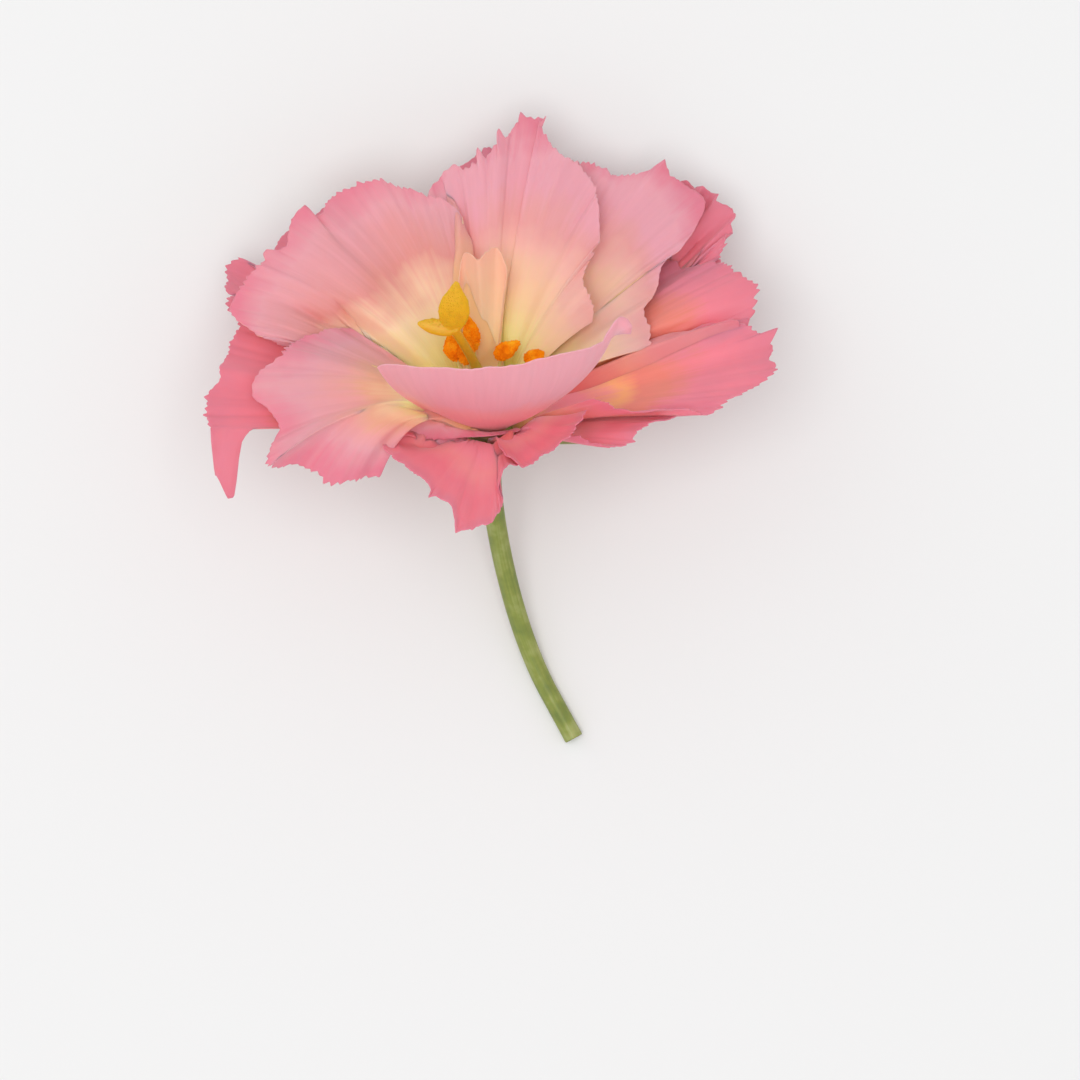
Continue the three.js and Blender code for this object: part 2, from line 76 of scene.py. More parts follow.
def tube(path, radii, sides, ribs=0.0):
    """A grid of points round a path, closed to a point at both ends, and its map.
    Ribs is the depth of four ribs along it, as a share of the radius."""
    ahead = np.gradient(path, axis=0)
    ahead = np.concatenate([ahead[:1], ahead, ahead[-1:]])
    ahead /= np.linalg.norm(ahead, axis=1, keepdims=True)
    path = np.concatenate([path[:1], path, path[-1:]])
    radii = np.concatenate([[0.0], radii, [0.0]])
    across = np.array([1.0, 0.0, 0.0]) - ahead[:, :1] * ahead
    across /= np.linalg.norm(across, axis=1, keepdims=True)
    other = np.cross(ahead, across)
    turn = np.linspace(0, 2 * np.pi, sides + 1)
    reach = radii[:, None] * (1 + ribs * np.cos(4 * turn))
    points = (path[:, None] + (reach * np.cos(turn))[..., None] * across[:, None]
              + (reach * np.sin(turn))[..., None] * other[:, None])
    points[:, -1] = points[:, 0]
    length = np.concatenate([[0], np.cumsum(np.linalg.norm(np.diff(path, axis=0), axis=1))])
    uv = np.stack(np.broadcast_arrays(turn / (2 * np.pi), (length / length[-1])[:, None]), -1)
    return points, uv


def grid_faces(rows, columns):
    """The faces between the points of a grid."""
    i, j = np.meshgrid(np.arange(rows - 1), np.arange(columns - 1), indexing="ij")
    a = (i * columns + j).ravel()
    return np.stack([a, a + columns, a + columns + 1, a + 1], -1)


def add_mesh(name, points, faces, uv, marks=None):
    """An object at the origin from points in millimetres, its map and its point attributes."""
    mesh = bpy.data.meshes.new(name)
    mesh.from_pydata((points.reshape(-1, 3) / 1000).tolist(), [], faces.tolist())
    corner = np.empty(len(mesh.loops), int)
    mesh.loops.foreach_get("vertex_index", corner)
    flat = uv.reshape(-1, 2)[corner].astype(np.float32)
    mesh.uv_layers.new(name="grown").data.foreach_set("uv", flat.ravel())
    for label, values in (marks or {}).items():
        marked = mesh.attributes.new(label, "FLOAT", "POINT")
        marked.data.foreach_set("value", values.astype(np.float32))
    mesh.polygons.foreach_set("use_smooth", np.ones(len(mesh.polygons), bool))
    piece = bpy.data.objects.new(name, mesh)
    bpy.context.scene.collection.objects.link(piece)
    return piece


def close_up(piece):
    """Merges what lies in one place and turns the faces outward."""
    build = bmesh.new()
    build.from_mesh(piece.data)
    bmesh.ops.remove_doubles(build, verts=build.verts, dist=1e-7)
    if build.calc_volume(signed=True) < 0:
        bmesh.ops.reverse_faces(build, faces=build.faces)
    build.to_mesh(piece.data)
    build.free()


def colour(code):
    """An sRGB hex value as linear colour."""
    channels = [int(code[k:k + 2], 16) / 255 for k in (1, 3, 5)]
    return [c / 12.92 if c < 0.04045 else ((c + 0.055) / 1.055)**2.4 for c in channels] + [1.0]


def add_node(tree, kind, settings=None, stops=(), **inputs):
    """Adds a node with its settings, the stops of its ramp, and its values or links."""
    node = tree.nodes.new(kind)
    for key, value in (settings or {}).items():
        setattr(node, key, value)
    for k, (place, code) in enumerate(stops):
        ramp = node.color_ramp.elements
        stop = ramp[k] if k < 2 else ramp.new(place)
        stop.position = place
        stop.color = colour(code)
    for key, value in inputs.items():
        numbered = key.startswith("in")
        socket = node.inputs[int(key[2:]) if numbered else key.replace("_", " ")]
        if isinstance(value, bpy.types.NodeSocket):
            tree.links.new(value, socket)
        else:
            socket.default_value = value
    return node


def new_material(name):
    material = bpy.data.materials.new(name)
    material.use_nodes = True
    material.node_tree.nodes.clear()
    return material


# Stem tissue: a thin wax film over living cells, so it is matt with a soft pale bloom, and
# fibres show through as fine lighter lines along it, here 0.5 mm apart.
stalk_skin = new_material("stalk tissue, waxy")
tree = stalk_skin.node_tree
uv = add_node(tree, "ShaderNodeUVMap", {"uv_map": "grown"}).outputs["UV"]
place = add_node(tree, "ShaderNodeTexCoord").outputs["Object"]
lines = add_node(tree, "ShaderNodeMapping", Vector=uv, Scale=(18.0, 3.0, 1.0)).outputs["Vector"]
lines = add_node(tree, "ShaderNodeTexNoise", Vector=lines, Scale=1.0, Detail=4.0).outputs["Fac"]
blotch = add_node(tree, "ShaderNodeTexNoise", Vector=place, Scale=1000 / 3.5, Detail=3.0).outputs["Fac"]
blend = add_node(tree, "ShaderNodeMath", {"operation": "MULTIPLY_ADD"}, in0=lines, in1=0.5, in2=blotch)
tint = add_node(tree, "ShaderNodeValToRGB", Fac=add_node(
    tree, "ShaderNodeMath", {"operation": "SUBTRACT"}, in0=blend.outputs[0], in1=0.25).outputs[0],
    stops=[(0.25, "#6f7f38"), (0.5, "#87923f"), (0.75, "#a5ab68")])
ridges = add_node(tree, "ShaderNodeBump", Strength=0.5, Distance=0.00008, Height=blend.outputs[0])
shader = add_node(tree, "ShaderNodeBsdfPrincipled", Base_Color=tint.outputs[0], Roughness=0.55,
                  Normal=ridges.outputs[0], Subsurface_Weight=0.2, Subsurface_Scale=0.0008,
                  Sheen_Weight=0.15, Sheen_Roughness=0.4)
add_node(tree, "ShaderNodeOutputMaterial", Surface=shader.outputs[0])

# The receptacle is a swelling that slopes down from the inner ring. Below it the stalk leaves
# along the bloom's axis, bends in one curve and ends in a straight stretch that lies down.
flank = (RECEPTACLE_MM - INNER_RING_MM - 0.4) * SHOULDER
start = in_bloom(0.0, 0.0, 0.0)
lie = STALK_MM - STALK_FLAT_MM
swell_depths = np.array([0, flank * 0.5, flank, flank + 0.5, flank + 1.2, flank + 2.2, flank + 3.8])
swell_radii = [INNER_RING_MM + 0.4, 5.05, RECEPTACLE_MM - 0.1, RECEPTACLE_MM - 0.2, 5.9, 4.4, 2.8]
bend = [in_bloom(0.0, 0.0, -8.2), in_bloom(0.0, 0.0, -18.0),
        np.array([start[0] + 3, start[1] - 30, lie]), np.array([start[0] + 9, start[1] - 41, lie])]
t = np.linspace(0, 1, 60)[:, None]
stalk = ((1 - t)**3 * bend[0] + 3 * (1 - t)**2 * t * bend[1] + 3 * (1 - t) * t**2 * bend[2]
         + t**3 * bend[3])
stalk_radii = STALK_MM * (1 + 0.12 * (1 - t[:, 0])) + 0.45 * np.exp(-t[:, 0] / 0.04)
straight = (bend[3] - bend[2]) / np.linalg.norm(bend[3] - bend[2])
end = bend[3] + straight * np.array([[2.0], [4.0], [6.0], [7.7], [7.95], [8.0], [7.9]])
end_radii = [STALK_MM, STALK_MM, STALK_MM, STALK_MM * 1.02, STALK_MM, STALK_MM * 0.93, STALK_MM * 0.5]
path = np.concatenate([in_bloom(0.0, 0.0, -swell_depths), stalk, end])
radii = np.concatenate([swell_radii, stalk_radii, end_radii])
points, uv_grid = tube(path, radii, 40, ribs=0.03)
points[..., 2] = np.maximum(points[..., 2], 0.0)
stem = add_mesh("stem_skin", points, grid_faces(*points.shape[:2]), uv_grid)
close_up(stem)
stem.data.materials.append(stalk_skin)
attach(stem, "root")
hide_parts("stem")


# Pistil: ovary, style and the two flat blades of the stigma, grown as one piece of soft tissue.
# It stands in the middle of the receptacle; the stigma is velvety with fine wet papillae.
def lobe(low, high, width, thickness, rows=28, sides=36, groove=0.0, seed=0):
    """A grid round an egg-shaped body between two points, flattened towards the viewer."""
    length = high - low
    axis = length / np.linalg.norm(length)
    flat = np.array([0.0, 0.0, 1.0]) - axis[2] * axis
    flat /= np.linalg.norm(flat)
    side = np.cross(axis, flat)
    rise = np.linspace(0, np.pi, rows)[:, None]
    turn = np.linspace(0, 2 * np.pi, sides + 1)[None, :]
    along = -np.cos(rise) / 2
    pointed = 1 - 0.45 * smooth(-0.1, 0.5, along)
    edge = 1 + 0.09 * noise(5 * along + seed, seed + 3) + 0.07 * np.sin(2 * turn + 7 * along + seed)
    waist = 1 - groove * np.exp(-(np.cos(turn) / 0.35)**2)
    x = 0.5 * np.sin(rise) * np.cos(turn) * width * pointed * edge
    z = 0.5 * np.sin(rise) * np.sin(turn) * thickness * pointed * waist
    points = low + (along + 0.5)[..., None] * length + x[..., None] * side + z[..., None] * flat
    uv = np.stack(np.broadcast_arrays(turn / (2 * np.pi), along + 0.5), -1)
    return points, uv


def smooth(start, end, x):
    """A soft step from 0 at start to 1 at end."""
    t = np.clip((x - start) / (end - start), 0, 1)
    return t * t * (3 - 2 * t)


def noise(x, seed):
    """A smooth random line of cells one unit wide, between -1 and 1."""
    cell = np.floor(x)
    f = x - cell
    mix = f * f * (3 - 2 * f)

    def value(k):
        s = np.sin(k * 12.9898 + seed * 78.233) * 43758.5453
        return 2 * (s - np.floor(s)) - 1

    return value(cell) * (1 - mix) + value(cell + 1) * mix


def fuse(name, grids, voxel_mm):
    """Several closed bodies grown together: remeshed as one skin, then softened."""
    points = np.concatenate([grid.reshape(-1, 3) for grid, _ in grids])
    faces, base = [], 0
    for grid, _ in grids:
        faces.append(grid_faces(*grid.shape[:2]) + base)
        base += grid.shape[0] * grid.shape[1]
    uvs = np.concatenate([uv.reshape(-1, 2) for _, uv in grids])
    body = add_mesh(name, points, np.concatenate(faces), uvs)
    close_up(body)
    one = body.modifiers.new("one skin", "REMESH")
    one.mode = "VOXEL"
    one.voxel_size = voxel_mm / 1000
    soft = body.modifiers.new("soft", "SMOOTH")
    soft.factor = 0.5
    soft.iterations = 4
    return settle_modifiers(body)


def settle_modifiers(piece):
    """Puts a plain mesh in place of a piece's modifiers."""
    depsgraph = bpy.context.evaluated_depsgraph_get()
    mesh = bpy.data.meshes.new_from_object(piece.evaluated_get(depsgraph))
    piece.modifiers.clear()
    piece.data = mesh
    mesh.polygons.foreach_set("use_smooth", np.ones(len(mesh.polygons), bool))
    return piece


def grains(carrier, name, material, per_mm2, radius_mm, seed, above=None):
    """Scatters small grains over a carrier's skin with a node tree, as a plain mesh of their own.
    Above is a distance in metres along the bloom's axis, below which none are scattered."""
    sizes = {"Grains per square metre": per_mm2 * 1e6, "Grain radius": radius_mm / 1000, "Seed": seed}
    tree = bpy.data.node_groups.new(name, "GeometryNodeTree")
    kinds = {"Grains per square metre": "NodeSocketFloat", "Grain radius": "NodeSocketFloat",
             "Seed": "NodeSocketInt"}
    tree.interface.new_socket(name="Skin", in_out="INPUT", socket_type="NodeSocketGeometry")
    for label, kind in kinds.items():
        tree.interface.new_socket(name=label, in_out="INPUT", socket_type=kind)
    tree.interface.new_socket(name="Grains", in_out="OUTPUT", socket_type="NodeSocketGeometry")
    given = add_node(tree, "NodeGroupInput").outputs
    chosen = True
    if above is not None:
        spot = add_node(tree, "GeometryNodeInputPosition").outputs[0]
        up = add_node(tree, "ShaderNodeVectorMath", {"operation": "DOT_PRODUCT"}, in0=spot,
                      in1=(0.0, math.sin(TILT), math.cos(TILT))).outputs["Value"]
        chosen = add_node(tree, "FunctionNodeCompare", {"operation": "GREATER_THAN"}, in0=up,
                          in1=above).outputs[0]
    spread = add_node(tree, "GeometryNodeDistributePointsOnFaces", Mesh=given["Skin"],
                      Density=given["Grains per square metre"], Seed=given["Seed"], Selection=chosen)
    grain = add_node(tree, "GeometryNodeMeshIcoSphere", Radius=given["Grain radius"], Subdivisions=1)
    size = add_node(tree, "FunctionNodeRandomValue", {"data_type": "FLOAT"}, Seed=given["Seed"],
                    in2=0.6, in3=1.3)
    placed = add_node(tree, "GeometryNodeInstanceOnPoints", Points=spread.outputs["Points"],
                      Instance=grain.outputs["Mesh"], Rotation=spread.outputs["Rotation"],
                      Scale=size.outputs[1])
    real = add_node(tree, "GeometryNodeRealizeInstances", Geometry=placed.outputs[0])
    painted = add_node(tree, "GeometryNodeSetMaterial", Geometry=real.outputs[0], Material=material)
    add_node(tree, "NodeGroupOutput", Grains=painted.outputs[0])
    piece = bpy.data.objects.new(name, carrier.data.copy())
    bpy.context.scene.collection.objects.link(piece)
    modifier = piece.modifiers.new(name, "NODES")
    modifier.node_group = tree
    for item in tree.interface.items_tree:
        if item.name in sizes:
            modifier[item.identifier] = sizes[item.name]
    return settle_modifiers(piece)


# Pistil tissue: moist and translucent, green where it is young at the base and deep gold at
# the stigma; the light goes a little way in, and its wet film gives a soft shine.
PISTIL_TALL_M = 0.027
STIGMA_FROM_M = 0.0205
pistil_skin = new_material("pistil tissue, golden")
tree = pistil_skin.node_tree
place = add_node(tree, "ShaderNodeTexCoord").outputs["Object"]
along_axis = (0.0, math.sin(TILT), math.cos(TILT))
up = add_node(tree, "ShaderNodeVectorMath", {"operation": "DOT_PRODUCT"}, in0=place, in1=along_axis)
foot = float(np.dot(start, along_axis)) / 1000
rise = add_node(tree, "ShaderNodeMapRange", Value=up.outputs["Value"], From_Min=foot,
                From_Max=foot + PISTIL_TALL_M)
speck = add_node(tree, "ShaderNodeTexNoise", Vector=place, Scale=1000 / 1.1, Detail=3.0).outputs["Fac"]
blend = add_node(tree, "ShaderNodeMath", {"operation": "MULTIPLY_ADD"}, in0=speck, in1=0.3,
                 in2=rise.outputs[0])
tint = add_node(tree, "ShaderNodeValToRGB", Fac=blend.outputs[0], stops=[
    (0.15, "#93ab3a"), (0.5, "#aba32c"), (0.72, "#c49a16"), (0.85, "#d9a60b"), (1.0, "#e8b309")])
ridges = add_node(tree, "ShaderNodeBump", Strength=0.4, Distance=0.0001, Height=speck)
shader = add_node(tree, "ShaderNodeBsdfPrincipled", Base_Color=tint.outputs[0], Roughness=0.5,
                  Normal=ridges.outputs[0], Subsurface_Weight=0.3, Subsurface_Scale=0.0008)
add_node(tree, "ShaderNodeOutputMaterial", Surface=shader.outputs[0])

ovary_and_style = through([in_bloom(*at) for at in (
    (0, 0, 0.35), (0, 0, 1.2), (-0.1, 0, 3.2), (-0.3, 0, 5.5), (-0.6, 0, 7.6), (-1.1, 0, 9.4),
    (-1.7, 0, 11), (-3.2, -0.1, 15), (-5.4, -0.3, 20))], np.linspace(0, 1, 60))
thickness = through([1.3, 1.45, 1.65, 1.75, 1.65, 1.3, 0.85, 0.72, 0.75], np.linspace(0, 1, 60))
pistil = fuse("pistil_skin", [
    tube(ovary_and_style, thickness, 28),
    lobe(in_bloom(-5.7, -0.5, 19), in_bloom(-5.0, 2, 27.6), 4.9, 1.3, seed=2),
    lobe(in_bloom(-4.9, -0.3, 19.6), in_bloom(-11.0, 0.3, 20.6), 3.0, 1.1, seed=5)], 0.14)
pistil.data.materials.append(pistil_skin)
papillae = grains(pistil, "stigma_papillae", pistil_skin, per_mm2=14, radius_mm=0.09, seed=4,
                  above=foot + STIGMA_FROM_M)
for piece in (pistil, papillae):
    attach(piece, "root")
    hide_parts("pistil")


# Stamens: seven slim pale filaments from a low ring round the ovary, each with an anther of
# two sacs that have burst and are thick with powdery orange pollen.
filament_skin = new_material("filament tissue, pale green")
tree = filament_skin.node_tree
place = add_node(tree, "ShaderNodeTexCoord").outputs["Object"]
speck = add_node(tree, "ShaderNodeTexNoise", Vector=place, Scale=1000 / 1.5, Detail=2.0).outputs["Fac"]
tint = add_node(tree, "ShaderNodeValToRGB", Fac=speck, stops=[(0.3, "#c9c767"), (0.7, "#e6dc9a")])
shader = add_node(tree, "ShaderNodeBsdfPrincipled", Base_Color=tint.outputs[0], Roughness=0.5,
                  Subsurface_Weight=0.4, Subsurface_Scale=0.0006)
add_node(tree, "ShaderNodeOutputMaterial", Surface=shader.outputs[0])
# Pollen: dry powder of round grains in clumps, drawn about ten times coarser than life so
# that they show, almost without shine and mottled from deep to yellow orange.
pollen = new_material("pollen, powdery orange")
tree = pollen.node_tree
place = add_node(tree, "ShaderNodeTexCoord").outputs["Object"]
clump = add_node(tree, "ShaderNodeTexNoise", Vector=place, Scale=1000 / 1.6, Detail=3.0).outputs["Fac"]
tint = add_node(tree, "ShaderNodeValToRGB", Fac=clump, stops=[
    (0.3, "#ea7802"), (0.5, "#fd9404"), (0.7, "#ffb21e")])
shader = add_node(tree, "ShaderNodeBsdfPrincipled", Base_Color=tint.outputs[0], Roughness=0.9,
                  Specular_IOR_Level=0.15)
add_node(tree, "ShaderNodeOutputMaterial", Surface=shader.outputs[0])

# Each anther is given by its top and its foot in the bloom's frame.
ANTHERS = [
    ((-6.2, 4.6, 14.6), (-5.2, 2.6, 10.7)),
    ((-3.3, 6.4, 16.6), (-2.4, 4.2, 11.3)),
    ((-3.6, 3.2, 15.0), (-3.6, 1.5, 11.0)),
    ((4.6, 4.3, 13.2), (0.7, 3.1, 11.2)),
    ((8.3, 3.5, 11.8), (5.2, 3.0, 10.4)),
    ((3.4, -4.6, 13.6), (3.2, -4.3, 10.0)),
    ((-3.8, -4.8, 13.8), (-3.4, -4.6, 10.2)),
]
SAC_WIDTH_MM, SAC_THICKNESS_MM = 2.6, 1.9
STAMEN_RING_MM, STAMEN_BOW_MM = 2.15, 2.95
profile = np.radians(np.linspace(0, 360, 17))
turn = np.linspace(0, 2 * np.pi, 49)[:, None]
ring_r = STAMEN_RING_MM + 0.3 * np.cos(profile)
ring = in_bloom(ring_r * np.cos(turn), ring_r * np.sin(turn), 0.72 + 0.4 * np.sin(profile))
ring_map = np.stack(np.broadcast_arrays(turn / (2 * np.pi), profile / (2 * np.pi)), -1)
filaments, sacs = [(ring, ring_map)], []
for k, (top, bottom) in enumerate(ANTHERS):
    high, low = in_bloom(*top), in_bloom(*bottom)
    around = math.atan2(bottom[1], bottom[0])
    foot_of = in_bloom(STAMEN_RING_MM * math.cos(around), STAMEN_RING_MM * math.sin(around), 0.75)
    bow = in_bloom(STAMEN_BOW_MM * math.cos(around), STAMEN_BOW_MM * math.sin(around), 5)
    line = through([foot_of, bow, low + 0.3 * (high - low)], np.linspace(0, 1, 24))
    filaments.append(tube(line, np.linspace(0.36, 0.24, 24), 12))
    sacs.append(lobe(low, high, SAC_WIDTH_MM, SAC_THICKNESS_MM, groove=0.4, seed=k + 1))
filament_piece = fuse("filaments", filaments, 0.1)
filament_piece.data.materials.append(filament_skin)
anther_piece = fuse("anthers", sacs, 0.13)
anther_piece.data.materials.append(pollen)
pollen_piece = grains(anther_piece, "pollen_grains", pollen, per_mm2=11, radius_mm=0.15, seed=7)
for piece in (filament_piece, anther_piece, pollen_piece):
    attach(piece, "root")
    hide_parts("stamens")


# Front petal: the petal that stands up before the heart of the bloom and shows its back. It
# is a broad thin scoop of petal tissue, lilac pink outside, on the ring nearest the heart.

# A petal is a blade: columns of points leave the ring steeply, lean over and end at the rim,
# given as across and down in points of the upright picture and height along the bloom's axis.
# Its tips draw the rim out to a place in the picture: across, down, half width in millimetres,
# how blunt, and where along the blade the draw begins.
BLOOM_WIDTH_MM = 85.0
BLOOM_WIDTH_POINTS = 560.0
HEART = (490.0, 425.0)
SEAT_MM = 0.9
CLAW_ANGLE = math.radians(10)
TOOTH_MM = 1.15
points_per_mm = BLOOM_WIDTH_POINTS / BLOOM_WIDTH_MM


def on_picture(across, down):
    """A point of the upright picture in the part's frame, in millimetres."""
    return np.array([(across - HEART[0]) / points_per_mm - MIDDLE_MM[0],
                     (HEART[1] - down) / points_per_mm - MIDDLE_MM[1]])


def rim_rays(rim, mid, bend):
    """Each rim point as azimuth round the bloom's axis, radius, height and how far it rolls over."""
    rays = []
    for across, down, height, *roll in rim:
        x, y = on_picture(across, down) + np.array(MIDDLE_MM)
        q = (y - math.sin(TILT) * height) / math.cos(TILT)
        azimuth = math.degrees(math.atan2(q, x))
        azimuth += 360 * round((mid - azimuth) / 360)
        rays.append((azimuth, math.hypot(x, q), height, (roll or [bend])[0]))
    return rays


def blade(us, vs, rays, mid, ring, claw, seed, rise, reach=0.5, ruffle=1.0, tooth=1.0,
          spread=0.5, columns=18, tips=(), fringe=0.0, crinkle=0.0):
    """The middle surface, in millimetres, for rows us (claw to rim) and columns vs along the rim."""
    rays = np.array(rays)
    turn = np.sign(rays[-1, 0] - rays[0, 0])
    seat = SEAT_MM - SHOULDER * (ring - INNER_RING_MM)
    coarse = np.linspace(0, 1, columns)
    azimuth, radius, height, _ = through(rays, coarse).T
    aside = np.radians(np.diff(azimuth)) * radius[1:]
    step = np.hypot(np.hypot(np.diff(radius), np.diff(height)), aside)
    mm = np.interp(vs, coarse, np.concatenate([[0], np.cumsum(step)]))
    azimuth, radius, height, bend = through(rays, vs).T
    u = us[:, None]
    w = 1 - u
    chord = np.hypot(radius - ring, height - seat)
    lean = np.arctan2(radius - ring, height - seat) + np.radians(bend)
    r1, h1 = ring + rise * math.sin(CLAW_ANGLE), seat + rise * math.cos(CLAW_ANGLE)
    r2, h2 = radius - reach * chord * np.sin(lean), height - reach * chord * np.cos(lean)
    r = w**3 * ring + 3 * w * w * u * r1 + 3 * w * u * u * r2 + u**3 * radius
    h = w**3 * seat + 3 * w * w * u * h1 + 3 * w * u * u * h2 + u**3 * height
    dr = w * w * (r1 - ring) + 2 * w * u * (r2 - r1) + u * u * (radius - r2)
    dh = w * w * (h1 - seat) + 2 * w * u * (h2 - h1) + u * u * (height - h2)
    size = np.hypot(dr, dh)
    # The rim is cut in lobes 5 and 2 mm wide and ruffles in waves of like widths, under which the
    # whole blade sways in waves of 13 mm. Where a blade is short its rim is smoother.
    tooth, ruffle, fringe, crinkle = (np.minimum(1, chord / 16)**2 * k for k in (
        tooth, ruffle, fringe, crinkle))
    teeth = tooth * smooth(0.8, 1, u) * (0.7 * noise(mm / 5.2, seed * 7 + 1)
                                         + 0.6 * noise(mm / 2.3, seed * 7 + 2))
    wave = ruffle * smooth(0.5, 1, u)**1.5 * (0.75 * noise(mm / 5.5 + 0.3, seed * 5 + 11)
                                              + 0.35 * noise(mm / 2.05, seed * 5 + 12))
    wave = wave + 0.8 * ruffle * smooth(0.25, 0.8, u) * noise(mm / 13 + 0.8 * u, seed * 5 + 13)
    # The fringe: saw teeth about a millimetre wide, strong on some stretches and faint on others,
    # each turned a little up or down, so that the rim looks crimped.
    patch = 0.25 + 0.75 * smooth(-0.45, 0.35, noise(mm / 7.0, seed * 3 + 40))
    beat = mm / TOOTH_MM + 0.7 * noise(mm / 2.9, seed + 50)
    part = beat - np.floor(beat)
    saw = np.minimum(part / 0.35, (1 - part) / 0.65) * (0.65 + 0.35 * noise(np.floor(beat), seed + 51))
    teeth = teeth + fringe * patch * (saw - 0.25) * smooth(0.93, 1, u)**1.3
    crease = 0.7 * noise(mm / 1.9 + 1.5 * u, seed + 61) + 0.5 * noise(mm / 1.1 - u, seed + 62)
    wave = wave + crinkle * patch * crease * smooth(0.72, 1, u)
    r = r + (teeth * dr - wave * dh) / size
    h = h + (teeth * dh + wave * dr) / size
    start = mid + turn * (2 * vs - 1) * claw
    around = np.radians(start + (azimuth - start) * smooth(-0.02, spread, u))
    points = in_bloom(r * np.cos(around), r * np.sin(around), h)
    for across, down, half_width, blunt, begin in tips:
        target = on_picture(across, down)
        middle = np.hypot(*(points[-1, :, :2] - target).T).argmin()
        way = np.append(target - points[-1, middle, :2], 0.0)
        tent = np.clip((1 - np.abs(mm - mm[middle]) / half_width) * blunt, 0, 1)
        points += (tent * smooth(begin, 1, u)**1.5)[..., None] * way
    return points, mm


def normals(points):
    """Unit normals of a grid, on the side that looks into the bloom."""
    n = np.cross(np.gradient(points, axis=0), np.gradient(points, axis=1))
    n /= np.maximum(np.linalg.norm(n, axis=-1, keepdims=True), 1e-9)
    inward = in_bloom(0.0, 0.0, 32.0) - points
    return n * np.sign((n * inward / np.linalg.norm(inward, axis=-1, keepdims=True)).sum())


# A petal is laid in after those nearer the heart and bent clear of them, as on the plant,
# where each presses on the next. What is laid is kept as a coarse grid with its search tree.
# Two blades are kept CLEAR_MM apart, measured for points at most BESIDE_MM past the other's
# edge and REACH_MM from it, and none is bent by more than MOST_MM.
CLEAR_MM, BESIDE_MM, REACH_MM, MOST_MM = 0.8, 0.5, 2.5, 3.0
LAY_ROWS, LAY_COLUMNS_PER_RAY = 14, 3
laid = []


def search_tree(points):
    """Finds the nearest face of a grid."""
    rows, columns, _ = points.shape
    faces = grid_faces(rows, columns)
    return BVHTree.FromPolygons(points.reshape(-1, 3).tolist(), faces.tolist())


def pressed(points, point_normals, other, tree):
    """For each point near the other grid: its cell, that cell's normal, its height and the need."""
    flat, flat_normals = points.reshape(-1, 3), point_normals.reshape(-1, 3)
    columns = other["points"].shape[1]
    low, high = other["points"].min((0, 1)) - 1, other["points"].max((0, 1)) + 1
    near = np.flatnonzero(((flat > low) & (flat < high)).all(1))
    found = []
    for k in near:
        at, _, face, _ = tree.find_nearest(Vector(flat[k]), REACH_MM)
        if at is None:
            continue
        row, column = divmod(face, columns - 1)
        n = other["normals"][row, column]
        offset = flat[k] - np.array(at)
        above = float(offset @ n)
        beside = math.sqrt(max(0.0, float(offset @ offset) - above * above))
        if beside > BESIDE_MM or float(n @ flat_normals[k]) < 0.3:
            continue
        need = CLEAR_MM * math.sqrt(1 - (beside / BESIDE_MM)**2)
        found.append((k, row, column, n, above, need))
    return found


def bend_clear(points, upper):
    """Pushes a grid away from an upper one wherever it is too near or through it."""
    rows, columns, _ = points.shape
    own = {"points": points, "normals": normals(points)}
    push = np.zeros_like(points)

    def press(i, j, direction, amount):
        move = -direction * amount
        if move @ move > push[i, j] @ push[i, j]:
            push[i, j] = move

    for k, _, _, n, above, need in pressed(points, own["normals"], upper, upper["tree"]):
        if above > -need:
            press(k // columns, k % columns, n, above + need)
    for _, row, column, n, above, need in pressed(upper["points"], upper["normals"], own,
                                                  search_tree(points)):
        if above < need:
            for a, b in ((0, 0), (1, 0), (0, 1), (1, 1)):
                press(row + a, column + b, n, need - above)
    # The neighbours of a pressed point give way a little too, which keeps the blade smooth.
    for _ in range(2):
        wide = np.pad(push, ((1, 1), (1, 1), (0, 0)), mode="edge")
        soft = sum(wide[a:a + rows, b:b + columns] for a in range(3) for b in range(3)) / 9
        more = (soft**2).sum(-1) > (push**2).sum(-1)
        push[more] = soft[more]
    push *= smooth(-0.05, 0.12, np.linspace(0, 1, rows))[:, None, None]
    push[0] = 0
    points += push
    return math.sqrt((push**2).sum(-1).max())


def lay_in(**spec):
    """Settles one blade and returns how far each point of its coarse grid was bent."""
    us = np.linspace(0, 1, LAY_ROWS)
    vs = np.linspace(0, 1, LAY_COLUMNS_PER_RAY * spec.get("columns", 18))
    points, _ = blade(us, vs, **spec)
    free = points.copy()
    low, high = points.min((0, 1)) - 2, points.max((0, 1)) + 2
    close = [u for u in laid if (u["points"].max((0, 1)) > low).all()
             and (u["points"].min((0, 1)) < high).all()]
    for _ in range(12):
        moved = max([bend_clear(points, upper) for upper in close], default=0)
        bent = np.linalg.norm(points - free, axis=-1, keepdims=True)
        points = free + (points - free) * np.minimum(1, MOST_MM / np.maximum(bent, 1e-6))
        if moved < 0.02:
            break
    laid.append({"points": points, "normals": normals(points), "tree": search_tree(points)})
    return points - free


# The finished blade is a thin closed skin: two faces a fraction of a millimetre apart that
# meet in a strip all round. Its map holds the length along the rim and the way from the claw.
# Where own_length is 1, that way ends at the rim of every column, however short; the lower it
# is, the more the way is the plain distance from the claw, for colours that fill the throat.
ROWS, COLUMN_STEP_MM, ROOT = 38, 0.21, 0.07
MAP_SPAN_MM = 100.0


